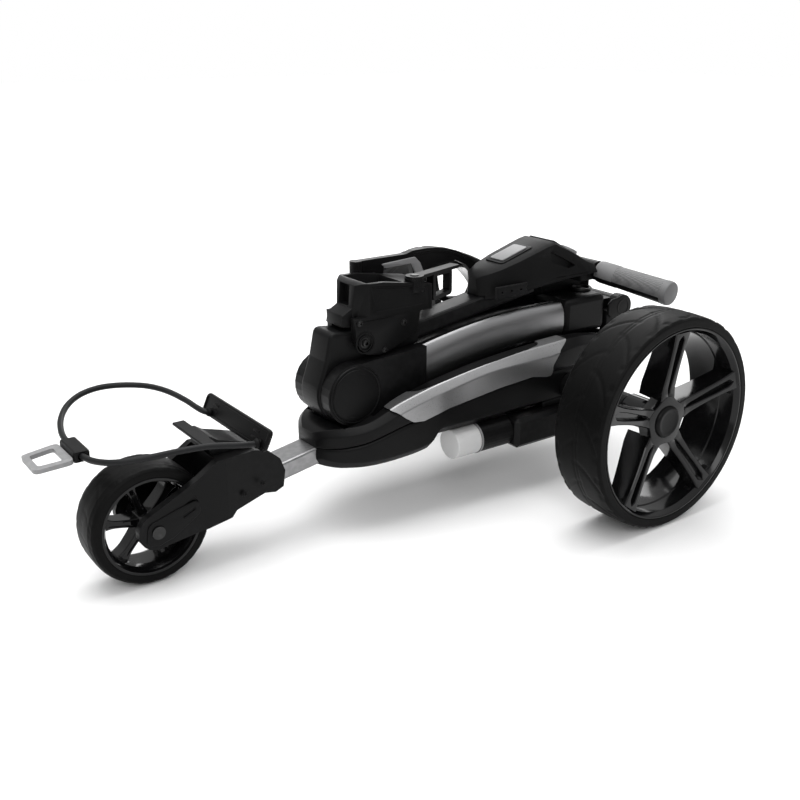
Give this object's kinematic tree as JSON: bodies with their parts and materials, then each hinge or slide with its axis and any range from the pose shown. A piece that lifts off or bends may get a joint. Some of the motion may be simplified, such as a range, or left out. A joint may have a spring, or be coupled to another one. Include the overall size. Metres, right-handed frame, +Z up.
{
  "type": "electric golf trolley",
  "caption": "Electric golf trolley folded flat: wheeled chassis with battery and worm drive, a hinged frame and stem lying on it, bag arms, handle, and an elastic bag strap.",
  "frame": {"origin": "on the floor, at the middle of the folded trolley's length and width, without its elastic strap", "axes": "+Z up; -X towards the front wheel; +Y towards the trolley's right side"},
  "size_m": [0.9255, 0.5848, 0.3568],
  "materials": {
    "satin_black": "satin",
    "gloss_black": "gloss",
    "tyre_rubber": "matt, with grooves",
    "strap_rubber": "satin",
    "gunmetal": "brushed and anodised",
    "silver_accent": "satin metallic",
    "steel": "bright",
    "light_grey": "matt",
    "grip_grey": "fine texture",
    "screen": "gloss",
    "board": "satin",
    "bronze": "satin"
  },
  "bodies": {
    "chassis": {"chassis_tray": "satin_black", "chassis_cowl": "satin_black", "side_accent_left": "silver_accent", "side_accent_right": "silver_accent", "front_tube": "gunmetal", "front_fork": "satin_black", "front_axle": "steel", "lower_cradle_plate": "satin_black", "key_peg": "satin_black", "strap_ferrule_left": "satin_black", "strap_ferrule_right": "satin_black", "strap_cord": "strap_rubber", "strap_buckle": "satin_black", "strap_pull_ring": "light_grey", "battery_case": "satin_black", "battery_lid": "satin_black", "battery_plug": "light_grey", "control_board": "board", "motor_can": "satin_black", "motor_end_cap": "light_grey", "gearbox_housing": "satin_black", "axle_tube_left": "satin_black", "axle_tube_right": "satin_black", "axle_bearing_left": "steel", "axle_bearing_right": "steel", "hinge_bracket_left": "satin_black", "hinge_bracket_right": "satin_black", "frame_pivot_pin": "steel"},
    "worm": {"drive_worm": "steel"},
    "axle": {"rear_axle": "steel", "worm_wheel": "bronze"},
    "rear_wheel_left": {"rear_tyre_left": "tyre_rubber", "rear_rim_left": "gloss_black", "rear_hub_cap_left": "satin_black"},
    "rear_wheel_right": {"rear_tyre_right": "tyre_rubber", "rear_rim_right": "gloss_black", "rear_hub_cap_right": "satin_black"},
    "front_wheel": {"front_tyre": "tyre_rubber", "front_rim": "gloss_black"},
    "frame": {"frame_spine": "satin_black", "frame_rail_left": "gunmetal", "frame_rail_right": "gunmetal", "rear_collar": "satin_black", "hinge_cap_left": "satin_black", "hinge_cap_right": "satin_black", "stem_pivot_pin": "steel"},
    "release": {"release_button": "steel"},
    "stem": {"stem_knuckle": "satin_black", "stem_tube": "satin_black", "bag_support": "satin_black", "head_housing": "satin_black", "accessory_plate": "satin_black", "display_screen": "screen", "handle_bar": "satin_black", "grip_left": "grip_grey", "grip_right": "grip_grey"},
    "arm_left": {"bag_arm_left": "satin_black"},
    "arm_right": {"bag_arm_right": "satin_black"},
    "dial": {"speed_dial": "light_grey"},
    "button": {"dial_button": "satin_black"}
  },
  "joints": [
    {"name": "rear_wheel_left_spin", "type": "hinge", "parent": "chassis", "child": "rear_wheel_left", "pos_m": [0.2755, -0.25, 0.15], "axis": [0, 1, 0], "continuous": true},
    {"name": "rear_wheel_right_spin", "type": "hinge", "parent": "chassis", "child": "rear_wheel_right", "pos_m": [0.2755, 0.25, 0.15], "axis": [0, 1, 0], "continuous": true},
    {"name": "axle_spin", "type": "hinge", "parent": "chassis", "child": "axle", "pos_m": [0.2755, 0, 0.15], "axis": [0, 1, 0], "continuous": true},
    {"name": "worm_spin", "type": "hinge", "parent": "chassis", "child": "worm", "pos_m": [0.1755, -0.07, 0.0995], "axis": [1, 0, 0], "continuous": true},
    {"name": "front_wheel_spin", "type": "hinge", "parent": "chassis", "child": "front_wheel", "pos_m": [-0.3645, 0, 0.0785], "axis": [0, 1, 0], "continuous": true},
    {"name": "frame_fold", "type": "hinge", "parent": "chassis", "child": "frame", "pos_m": [0.4235, 0, 0.24], "axis": [0, 1, 0], "range_deg": [0, 90]},
    {"name": "stem_fold", "type": "hinge", "parent": "frame", "child": "stem", "pos_m": [-0.0765, 0, 0.194], "axis": [0, 1, 0], "range_deg": [-125, 0]},
    {"name": "release_press", "type": "slide", "parent": "frame", "child": "release", "axis": [0, 0, 1], "range_m": [-0.003, 0], "stiffness_N_per_m": 600, "springref_m": 0.001},
    {"name": "bag_arm_left_swing", "type": "hinge", "parent": "stem", "child": "arm_left", "pos_m": [0.0325, -0.026, 0.334], "axis": [0, 0, 1], "range_deg": [-110, 0]},
    {"name": "bag_arm_right_swing", "type": "hinge", "parent": "stem", "child": "arm_right", "pos_m": [-0.0145, 0.048, 0.334], "axis": [0, 0, 1], "range_deg": [0, 110]},
    {"name": "speed_dial_turn", "type": "hinge", "parent": "stem", "child": "dial", "pos_m": [0.3415, 0, 0.3266], "axis": [0.493, 0, 0.87], "range_deg": [0, 270]},
    {"name": "dial_button_press", "type": "slide", "parent": "stem", "child": "button", "axis": [0.493, 0, 0.87], "range_m": [-0.002, 0], "stiffness_N_per_m": 300, "springref_m": 0.001}
  ],
  "couplings": [
    {"joint": "rear_wheel_right_spin", "follows": "rear_wheel_left_spin", "ratio": 1},
    {"joint": "axle_spin", "follows": "rear_wheel_left_spin", "ratio": 1},
    {"joint": "worm_spin", "follows": "rear_wheel_left_spin", "ratio": 20},
    {"joint": "stem_fold", "follows": "frame_fold", "ratio": -1.3889}
  ]
}
